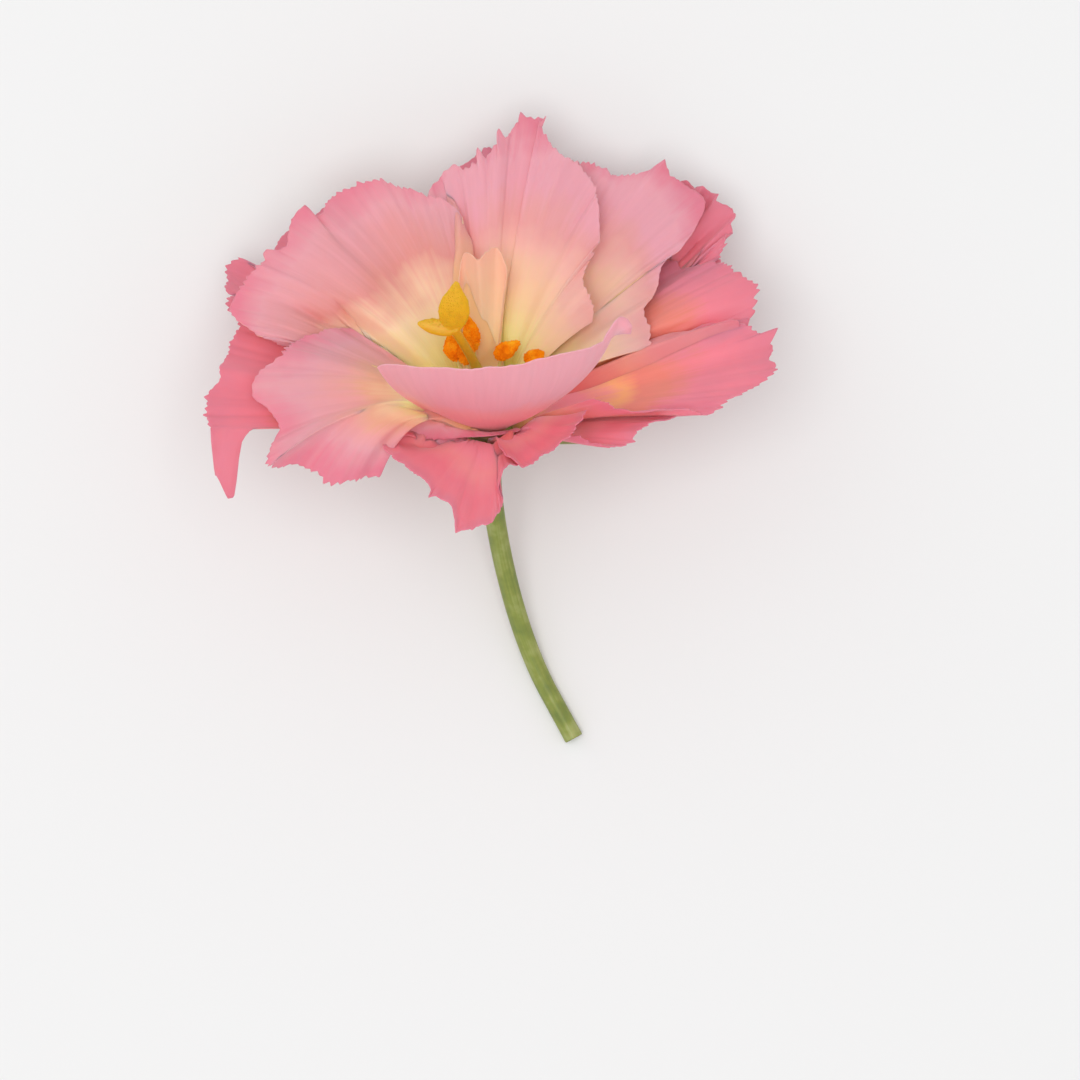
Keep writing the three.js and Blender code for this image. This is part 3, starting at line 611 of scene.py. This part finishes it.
def skin(name, points, mm, us, thick_root, thick_rim, own_length):
    """A closed petal from its middle surface, with both its faces marked apart."""
    rows, columns, _ = points.shape
    half = 0.5 * (thick_rim + (thick_root - thick_rim) * (1 - smooth(0.3, 1, us)))
    offset = normals(points) * half[:, None, None]
    both = np.concatenate([points + offset, points - offset]).reshape(-1, 3)
    both[:, 2] = np.maximum(both[:, 2], 0.0)
    count = rows * columns
    top = grid_faces(rows, columns)
    border = np.concatenate([
        np.arange(columns), np.arange(1, rows) * columns + columns - 1,
        (rows - 1) * columns + np.arange(columns - 2, -1, -1),
        np.arange(rows - 2, 0, -1) * columns])
    after = np.roll(border, -1)
    strip = np.stack([border, after, after + count, border + count], -1)
    faces = np.concatenate([top, top[:, ::-1] + count, strip])
    across = np.broadcast_to(mm / MAP_SPAN_MM, (rows, columns)).ravel()
    steps = np.linalg.norm(np.diff(points, axis=0), axis=-1)
    way = np.concatenate([np.zeros((1, columns)), np.cumsum(steps, axis=0)])
    way = np.minimum(way / np.percentile(way[-1], 90), 1)
    way = (own_length * us[:, None] + (1 - own_length) * way).ravel()
    uv = np.stack([np.tile(across, 2), np.tile(way, 2)], -1)
    piece = add_mesh(name, both, faces, uv, {"back": np.repeat([0.0, 1.0], count)})
    close_up(piece)
    return piece


# Petal tissue: thin, moist and slightly waxy, so light glows through it and its sheen is soft.
# Fibres run from claw to rim about a millimetre apart; clouds of deeper pigment are 14 mm wide.
def petal_skin(name, inside, back, seed):
    """A petal's material, with the colours of both its faces from claw to rim."""
    material = new_material(name)
    tree = material.node_tree
    uv = add_node(tree, "ShaderNodeUVMap", {"uv_map": "grown"}).outputs["UV"]
    split = add_node(tree, "ShaderNodeSeparateXYZ", Vector=uv)
    place = add_node(tree, "ShaderNodeTexCoord").outputs["Object"]
    fibre_way = add_node(tree, "ShaderNodeMapping", Vector=uv, Location=(seed, seed, 0.0),
                         Scale=(MAP_SPAN_MM / 1.1, 2.2, 1.0)).outputs["Vector"]
    fibre = add_node(tree, "ShaderNodeTexNoise", Vector=fibre_way, Scale=1.0, Detail=5.0, Roughness=0.65)
    cloud = add_node(tree, "ShaderNodeTexNoise", Vector=place, Scale=1000 / 14.0, Detail=3.0,
                     Roughness=0.6)
    shift = add_node(tree, "ShaderNodeMath", {"operation": "MULTIPLY_ADD"},
                     in0=cloud.outputs["Fac"], in1=0.3, in2=-0.15).outputs["Value"]
    shift = add_node(tree, "ShaderNodeMath", {"operation": "MULTIPLY_ADD"},
                     in0=fibre.outputs["Fac"], in1=0.14, in2=shift).outputs["Value"]
    way = add_node(tree, "ShaderNodeMath", {"operation": "ADD"}, in0=split.outputs["Y"], in1=shift)
    way = add_node(tree, "ShaderNodeMath", {"operation": "SUBTRACT"}, in0=way.outputs["Value"], in1=0.07)
    face = add_node(tree, "ShaderNodeValToRGB", stops=inside, Fac=way.outputs["Value"])
    rear = add_node(tree, "ShaderNodeValToRGB", stops=back, Fac=way.outputs["Value"])
    which = add_node(tree, "ShaderNodeAttribute", {"attribute_name": "back"}).outputs["Fac"]
    tint = add_node(tree, "ShaderNodeMix", {"data_type": "RGBA"}, in0=which, in6=face.outputs[0],
                    in7=rear.outputs[0])
    light = add_node(tree, "ShaderNodeMapRange", Value=fibre.outputs["Fac"], From_Min=0.3,
                     From_Max=0.7, To_Min=0.965, To_Max=1.025)
    tint = add_node(tree, "ShaderNodeHueSaturation", Value=light.outputs["Result"],
                    Color=tint.outputs[2]).outputs["Color"]
    ridges = add_node(tree, "ShaderNodeBump", Strength=0.3, Distance=0.00006,
                      Height=fibre.outputs["Fac"])
    bsdf = add_node(tree, "ShaderNodeBsdfPrincipled", Base_Color=tint, Roughness=0.55,
                    Normal=ridges.outputs["Normal"], Subsurface_Weight=0.7,
                    Subsurface_Radius=(1.0, 0.75, 0.6), Subsurface_Scale=0.0006,
                    Sheen_Weight=0.2, Sheen_Roughness=0.4, Specular_IOR_Level=0.3)
    add_node(tree, "ShaderNodeOutputMaterial", Surface=bsdf.outputs["BSDF"])
    return material


def grow(node, slot, material, mid, rim=(), rays=(), bend=2, thick_root=0.42, thick_rim=0.16,
         fringe=1.0, crinkle=0.42, own_length=1.0, **spec):
    """One blade from its sizes: laid in, drawn out finely and put in place of its solid."""
    spec.update(rays=rays or rim_rays(rim, mid, bend), mid=mid)
    bent = lay_in(**spec)
    us = 1 - (1 - np.linspace(0, 1, ROWS))**1.5
    _, length = blade(us[:1], np.array([1.0]), **spec)
    vs = np.linspace(0, 1, int(length[0] / COLUMN_STEP_MM))
    rows = np.concatenate([[-ROOT], us])
    points, mm = blade(rows, vs, fringe=fringe, crinkle=crinkle, **spec)
    fine = through(through(bent, us).transpose(1, 0, 2), vs).transpose(1, 0, 2)
    points[1:] += fine
    piece = skin(f"{node}_skin", points, mm, np.maximum(rows, 0), thick_root, thick_rim,
                 own_length)
    piece.data.materials.append(material)
    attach(piece, "root")
    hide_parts(node)


PAINTED_SHADE_TERRACOTTA, BRIGHT_PINK, WARM_PINK, LILAC_PINK = "#e07a58", "#fc93a0", "#f3a0a4", "#eaa3b0"
front_skin = petal_skin(
    "petal tissue, lilac back",
    inside=[(0.0, "#d3cf62"), (0.12, "#f4dc93"), (0.4, "#f6d2a4"), (0.75, "#f0b9ae"), (1.0, "#eaa2ae")],
    # Painted shade: towards the claw the back deepens through bright pink to terracotta, standing in for
    # the shade at the petal's foot.
    back=[(0.0, PAINTED_SHADE_TERRACOTTA), (0.35, BRIGHT_PINK), (0.6, WARM_PINK), (0.7, LILAC_PINK),
          (1.0, LILAC_PINK)],
    seed=1.0)
grow("petal_front", "petal", front_skin,
     rim=[(377, 370, 20), (388, 366, 22), (415, 369, 24.5), (450, 370, 26.5), (490, 369, 27.5),
          (530, 364, 28), (562, 357, 28), (588, 350, 27.5), (602, 344, 27), (612, 336, 26.5)],
     mid=272, bend=-20, ring=INNER_RING_MM, claw=38, seed=1, rise=3.4, reach=0.5,
     ruffle=0.45, tooth=0.2, spread=0.75, columns=24, fringe=0.15, crinkle=0.2,
     tips=[(620, 329, 2.4, 4, 0.975), (629, 337, 1.1, 1.5, 0.985), (617, 321, 1.2, 1.5, 0.985),
           (627, 322, 0.9, 1.5, 0.985)])


# Petaloid: a stamen grown half into a petal, a small cream tongue behind the pistil, notched
# at its end, of thin petal tissue.
tongue_skin = petal_skin(
    "petal tissue, cream",
    inside=[(0.0, "#b9cc48"), (0.2, "#f2dc90"), (0.5, "#f9deb0"), (0.8, "#f4c9a8"), (1.0, "#eeb39f")],
    back=[(0.0, "#d6cc66"), (0.3, "#f3cf90"), (1.0, "#f0b891")],
    seed=5.0)
grow("petaloid", "petal", tongue_skin,
     rim=[(458, 300, 16), (459, 277, 18.5), (463, 257, 20.5), (470, 254, 21.5), (478, 259, 21.5),
          (486, 252, 22), (496, 247, 22), (504, 257, 21), (507, 273, 19.5), (504, 294, 17)],
     mid=98, bend=0, ring=INNER_RING_MM, claw=11, seed=21,
     rise=5, reach=0.4, ruffle=0.4, tooth=0.4, columns=18, fringe=0.3, crinkle=0.2)


# Inner petals: the open petals round the heart, wide fans with ruffled and finely cut rims,
# cream at the throat and rosy towards the rim, in two turns so that each laps over the next.
GREEN, LIME, CREAM, PALE_PEACH, PEACH = "#b4c63e", "#dcd56a", "#fbeca0", "#f8d8b4", "#f9cfa6"
BLUSH, ROSY_PEACH, APRICOT, ORANGE = "#f4b7ab", "#e9ad91", "#f7bd70", "#fcae7b"
SALMON, CORAL, OLD_ROSE, DUSTY_PINK = "#dd968f", "#e98a7c", "#e9a3a2", "#e3a0aa"
DEEP_PINK, ROSE, DEEP_ROSE = "#ed8595", "#e08296", "#d87c90"
cream_skin = petal_skin(
    "petal tissue, cream throat",
    inside=[(0.0, GREEN), (0.2, LIME), (0.3, CREAM), (0.45, PEACH), (0.6, BLUSH), (0.7, OLD_ROSE),
            (0.8, LILAC_PINK), (0.9, LILAC_PINK), (1.0, ROSE)],
    back=[(0.0, "#d6cc66"), (0.15, "#f3cf90"), (0.5, "#f3c08a"), (0.75, "#ef9f97"), (1.0, "#e98f9e")],
    seed=3.0)
coral_skin = petal_skin(
    "petal tissue, coral middle",
    inside=[(0.0, GREEN), (0.2, LIME), (0.33, CREAM), (0.5, PALE_PEACH), (0.66, SALMON),
            (0.88, DUSTY_PINK), (1.0, ROSE)],
    back=[(0.0, "#d6cc66"), (0.2, "#f2d184"), (0.5, "#f8cb8c"), (0.7, "#f8cc9e"), (0.9, "#f6cba6"),
          (1.0, "#f0b6a4")],
    seed=2.0)
fold_skin = petal_skin(
    "petal tissue, peach and lilac",
    inside=[(0.0, LIME), (0.14, APRICOT), (0.4, PEACH), (0.5, CREAM), (0.6, PEACH),
            (0.7, ROSY_PEACH), (0.8, OLD_ROSE), (0.9, DUSTY_PINK), (1.0, ROSE)],
    back=[(0.0, "#cfc868"), (0.3, "#f4be86"), (0.5, "#f0b29c"), (0.8, "#eba2a2"), (1.0, "#e6919c")],
    seed=7.0)
rose_skin = petal_skin(
    "petal tissue, rosy",
    inside=[(0.0, LIME), (0.12, APRICOT), (0.3, BRIGHT_PINK), (0.46, BRIGHT_PINK),
            (0.55, ORANGE), (0.65, CORAL), (0.75, CORAL), (0.85, DEEP_PINK), (1.0, DEEP_ROSE)],
    # Painted shade: the back is deep red near the claw, the shade of the crevice under the front petal,
    # and pales to coral pink towards the rim.
    back=[(0.0, "#d96a62"), (0.3, "#dc6668"), (0.5, "#e27674"), (0.65, "#ec9484"), (0.8, "#ea8c8c"),
          (1.0, "#e27a8c")],
    seed=4.0)
MIDDLE_RING_MM = 4.2
# In the order in which they are laid in. The petal numbered outer_1 lies among these.
INNER_PETALS = {
    "petal_outer_1": dict(
        rim=[(352, 328, 12, 6), (334, 328, 13.5, 6), (312, 334, 14.5, 8), (294, 344, 15, 10),
             (284, 358, 14.8, 14), (262, 377, 14, 18), (259, 398, 12.5, 20), (277, 422, 10, 26),
             (270, 446, 8.4, 34), (268, 470, 6.8, 42), (282, 466, 6.4, 48), (303, 462, 6, 56),
             (318, 467, 5.4, 64), (332, 481, 4.6, 70), (358, 480, 4.5, 74), (372, 474, 4.5, 74),
             (384, 473, 4.5, 72), (388, 452, 5, 72), (396, 441, 5, 74), (420, 440, 4.6, 76),
             (446, 439, 4.3, 74), (474, 437, 4.3, 66), (500, 434, 4.5, 54), (520, 428, 5, 40)],
        ring=MIDDLE_RING_MM - 0.5, mid=235, claw=58, seed=7, rise=2.5, reach=0.75, ruffle=0.7,
        columns=44, tips=[(332, 486, 0.9, 1, 0.92)], material=fold_skin),
    "petal_inner_1": dict(
        rim=[(300, 350, 11.5), (276, 344, 13), (258, 336, 14.5), (241, 326, 15),
             (229, 310, 16), (232, 294, 16.8), (243, 283, 17.3), (258, 270, 18.2), (268, 256, 19),
             (288, 246, 20), (296, 222, 21), (316, 208, 21.5), (342, 186, 22.5), (372, 180, 23.5),
             (404, 184, 23.5), (430, 194, 23), (449, 202, 22.5), (462, 217, 21.5), (458, 236, 20.5),
             (463, 255, 19), (468, 275, 17.5), (472, 300, 14.5)],
        ring=MIDDLE_RING_MM, mid=150, claw=38, seed=2, rise=4, bend=24, ruffle=0.7, columns=34,
        own_length=0.45, tips=[(304, 204, 1.5, 1, 0.85), (266, 249, 1.3, 1, 0.88)], material=coral_skin),
    "petal_inner_2": dict(
        rim=[(418, 208, 20), (430, 189, 21.5), (441, 180, 22), (455, 164, 23), (463, 168, 23.2),
             (481, 160, 24.5), (492, 147, 25.2), (506, 134, 25.5), (513, 119, 26), (527, 112, 26),
             (541, 114, 26), (539, 126, 25.8), (550, 138, 25.5), (566, 150, 25), (592, 176, 23),
             (599, 205, 22), (602, 232, 20.5), (590, 250, 19.5), (581, 272, 18), (588, 290, 16.5),
             (594, 306, 15), (595, 323, 13)],
        ring=INNER_RING_MM, mid=64, claw=26, seed=3, rise=4, bend=24, ruffle=0.7, columns=34,
        tips=[(477, 145, 0.9, 1.5, 0.92), (498, 126, 0.9, 1.6, 0.9), (453, 162, 0.9, 1.4, 0.93),
              (520, 108, 0.9, 1, 0.94), (546, 112, 0.9, 1, 0.94)], own_length=0.35, material=cream_skin),
    "petal_inner_3": dict(
        rim=[(560, 185, 18), (583, 160, 20), (605, 167, 20.5), (632, 175, 20.5), (660, 172, 20.5),
             (683, 180, 20), (702, 200, 19), (694, 226, 18), (680, 248, 17), (660, 264, 16),
             (656, 286, 14.5), (648, 320, 12.5), (643, 350, 10.5)],
        ring=MIDDLE_RING_MM, mid=48, claw=23, seed=4, rise=4, bend=20, ruffle=0.7, columns=24,
        own_length=0.35, tips=[(666, 156, 1.6, 1, 0.82)], material=cream_skin),
    "petal_inner_5": dict(
        rim=[(655, 340, 10.5), (690, 326, 12.5), (716, 318, 13.5), (732, 321, 13.5), (746, 330, 13.5),
             (764, 336, 13.5), (774, 346, 13), (771, 362, 12), (770, 377, 11.5), (750, 394, 10.5),
             (728, 405, 10), (708, 415, 9.5), (684, 412, 9.5), (660, 413, 9.5), (640, 415, 9.5),
             (614, 409, 9.5), (588, 402, 9)],
        ring=MIDDLE_RING_MM, mid=335, claw=41, seed=6, rise=2.5, bend=4, ruffle=0.8, columns=30,
        tips=[(778, 328, 1.2, 1, 0.85)], material=rose_skin),
    "petal_inner_4": dict(
        rim=[(655, 245, 10), (672, 262, 12), (695, 264, 13), (722, 268, 14), (740, 277, 14.5),
             (754, 290, 15), (753, 306, 15), (744, 317, 14.5), (728, 322, 13.5), (712, 330, 12.5),
             (690, 342, 11.5), (662, 356, 10)],
        ring=MIDDLE_RING_MM, mid=10, claw=18, seed=5, rise=3.5, reach=0.55, bend=12, ruffle=0.7,
        columns=22, material=rose_skin),
}
for name, sizes in INNER_PETALS.items():
    grow(name, "petal", **sizes)


# Outer petals: the wide fans under and behind the others, of the same tissue with more
# pigment and less cream, their rims ruffled and cut, one with a long drooping finger.
PAINTED_LIGHT_PINK = "#fca5b6"
under_skin = petal_skin(
    "petal tissue, coral",
    # Painted light: from near the claw to the middle the inside is a paler, clearer pink than the
    # petal's own, lifting the shade where these petals lie under the others.
    inside=[(0.0, SALMON), (0.2, PAINTED_LIGHT_PINK), (0.45, PAINTED_LIGHT_PINK), (0.62, WARM_PINK),
            (0.8, DEEP_PINK), (0.92, DEEP_PINK), (1.0, ROSE)],
    back=[(0.0, "#cfc868"), (0.2, "#ec8d7e"), (0.5, "#e67f84"), (0.8, "#e78090"), (1.0, "#dd6a82")],
    seed=9.0)
OUTER_RING_MM = 5.3
OUTER_PETALS = {
    "petal_outer_2": dict(
        rim=[(500, 447, 8), (506, 460, 9), (516, 466, 9.3), (524, 468, 9.5), (533, 465, 9.5),
             (542, 456, 9.8), (553, 450, 10), (561, 443, 10.3), (571, 437, 10.6), (577, 424, 11),
             (588, 412, 11)],
        ring=OUTER_RING_MM, mid=292, claw=28, seed=14, rise=8.5, ruffle=0.7, columns=26,
        material=under_skin),
    "petal_outer_3": dict(
        rim=[(385, 445, 9), (396, 466, 9.5), (426, 484, 10), (436, 500, 10.5), (452, 512, 11),
             (460, 528, 11), (476, 526, 10.5), (494, 520, 10.5), (503, 495, 9.5), (499, 483, 9.3),
             (506, 466, 9), (512, 458, 8.5), (522, 451, 8), (532, 444, 7.5)],
        ring=OUTER_RING_MM, mid=262, claw=34, seed=8, rise=8.5, columns=24,
        tips=[(457, 533, 1.2, 1, 0.88), (430, 498, 1.0, 1, 0.9)], material=under_skin),
    "petal_outer_4": dict(
        rim=[(262, 318, 12.2), (246, 322, 12.5), (240, 330, 12.5), (229, 345, 12.3), (227, 358, 12),
             (222, 370, 11.8), (216, 380, 11.5), (211, 392, 11), (213, 404, 11), (213, 414, 10.8),
             (217, 423, 10.5), (224, 428, 10.2), (231, 427, 10)],
        ring=OUTER_RING_MM, mid=190, claw=26, seed=9, rise=2, bend=4, columns=34,
        tips=[(234, 452, 1.3, 2, 0.9), (230, 499, 1.3, 3, 0.96), (208, 396, 0.9, 1, 0.92)],
        material=rose_skin),
    "petal_outer_5": dict(
        rim=[(262, 328, 9.5), (246, 330, 9.5), (238, 322, 9.3), (230, 312, 9.2), (230, 301, 9),
             (236, 292, 8.8), (219, 285, 8.7), (225, 272, 8.6), (227, 260, 8.6), (245, 258, 8.6),
             (256, 266, 8.6), (266, 250, 8.6), (296, 222, 8.6), (330, 202, 8.6), (380, 195, 8.6)],
        ring=OUTER_RING_MM, mid=138, claw=25, seed=10, rise=2.5, bend=12, columns=32,
        material=rose_skin),
    "petal_outer_6": dict(
        rim=[(430, 190, 13), (465, 162, 14), (495, 142, 15), (560, 150, 15), (598, 166, 14),
             (630, 178, 13), (660, 185, 12)],
        ring=OUTER_RING_MM, mid=86, claw=21, seed=11, rise=3, bend=18, material=rose_skin),
    "petal_outer_7": dict(
        rim=[(655, 190, 16), (682, 180, 17), (700, 184, 17), (713, 189, 16.5), (722, 198, 16),
             (733, 210, 15.5), (725, 228, 15), (724, 250, 14), (718, 262, 13.5), (724, 275, 13),
             (730, 290, 12)],
        ring=OUTER_RING_MM, mid=35, claw=20, seed=12, rise=2.5, bend=14, columns=22,
        tips=[(719, 188, 1.0, 1, 0.9), (735, 209, 1.0, 1, 0.9), (732, 226, 0.9, 1, 0.9)],
        material=rose_skin),
    "petal_outer_8": dict(
        rim=[(738, 374, 8.5), (728, 392, 8.5), (704, 408, 8.5), (684, 413, 8), (664, 418, 8),
             (648, 430, 7.5), (636, 440, 7.5), (622, 443, 7.5), (604, 445, 8), (590, 441, 8),
             (576, 436, 8)],
        ring=OUTER_RING_MM, mid=335, claw=25, seed=13, rise=2.5, bend=3, columns=24,
        material=under_skin),
}
for name, sizes in OUTER_PETALS.items():
    grow(name, "petal", **sizes)


# Sepals: five narrow pointed leaves under the bloom, of firm green tissue that is paler at
# the foot and brownish at the tip, grown out of the receptacle below the outermost petals.
SEPAL_RING_MM = 6.4
sepal_skin = petal_skin(
    "sepal tissue, green",
    inside=[(0.0, "#a9b562"), (0.4, "#8ba24c"), (0.85, "#7a9444"), (1.0, "#8f8a4c")],
    back=[(0.0, "#9aa856"), (0.5, "#7b9242"), (1.0, "#867f45")], seed=6.0)
SEPALS = [(52, 3.5), (122, 4), (194, 2), (263, 0), (340, 2.5)]
SEPAL_OUTLINE = [(-6, 12, 0.75), (-4, 16, 0.9), (0, 19, 1), (4, 16, 0.9), (6, 12, 0.75)]
for k, (azimuth, height) in enumerate(SEPALS):
    grow(f"sepal_{k + 1}", "sepal", sepal_skin,
         rays=[(azimuth + turn, radius, height * share, 2) for turn, radius, share in SEPAL_OUTLINE],
         mid=azimuth, ring=SEPAL_RING_MM, claw=15, seed=30 + k, rise=0.7, reach=0.4, ruffle=0.15,
         tooth=0.1, columns=8, thick_root=0.7, thick_rim=0.35, fringe=0.0, crinkle=0.05)


# Camera, light and ground: the bloom lies on a pale sheet and is looked at from straight
# above through a long lens, under a broad soft light overhead and a weak one from upper left.
VIEW_DISTANCE = 1.8
BLOOM_MIDDLE_HEIGHT = 0.028
PICTURE_POINTS = 1080.0
SENSOR_MM = 36.0
points_per_metre = points_per_mm * 1000
picture_width = PICTURE_POINTS / points_per_metre
centre_x = (PICTURE_POINTS / 2 - HEART[0]) / points_per_metre - MIDDLE_MM[0] / 1000
centre_y = (HEART[1] - PICTURE_POINTS / 2) / points_per_metre - MIDDLE_MM[1] / 1000
lens = bpy.data.cameras.new("camera")
lens.sensor_width = SENSOR_MM
lens.lens = SENSOR_MM * VIEW_DISTANCE / picture_width
lens.clip_end = 20
camera = bpy.data.objects.new("camera", lens)
camera.location = (centre_x, centre_y, VIEW_DISTANCE + BLOOM_MIDDLE_HEIGHT)
bpy.context.scene.collection.objects.link(camera)
bpy.context.scene.camera = camera

floor_mesh = bpy.data.meshes.new("floor")
floor_mesh.from_pydata([(-3, -3, 0), (3, -3, 0), (3, 3, 0), (-3, 3, 0)], [], [(0, 1, 2, 3)])
floor = bpy.data.objects.new("floor", floor_mesh)
bpy.context.scene.collection.objects.link(floor)
sheet = bpy.data.materials.new("matt card")
sheet.use_nodes = True
sheet.node_tree.nodes["Principled BSDF"].inputs["Base Color"].default_value = colour("#e9e9e9")
sheet.node_tree.nodes["Principled BSDF"].inputs["Roughness"].default_value = 0.9
floor_mesh.materials.append(sheet)

for name, where, width, power in (
        ("key light", (-0.15, -0.1, 2.2), 1.5, 22.0),
        ("side light", (-0.7, 0.5, 1.0), 1.2, 1.2)):
    glow = bpy.data.lights.new(name, "AREA")
    glow.shape = "DISK"
    glow.size = width
    glow.energy = power
    lamp = bpy.data.objects.new(name, glow)
    lamp.location = where
    lamp.rotation_euler = (-Vector(where)).to_track_quat("-Z", "Y").to_euler()
    bpy.context.scene.collection.objects.link(lamp)
world = bpy.data.worlds.new("soft surround")
world.use_nodes = True
world.node_tree.nodes["Background"].inputs["Color"].default_value = (1.0, 1.0, 1.0, 1.0)
world.node_tree.nodes["Background"].inputs["Strength"].default_value = 0.66
bpy.context.scene.world = world
bpy.context.scene.view_settings.view_transform = "Standard"
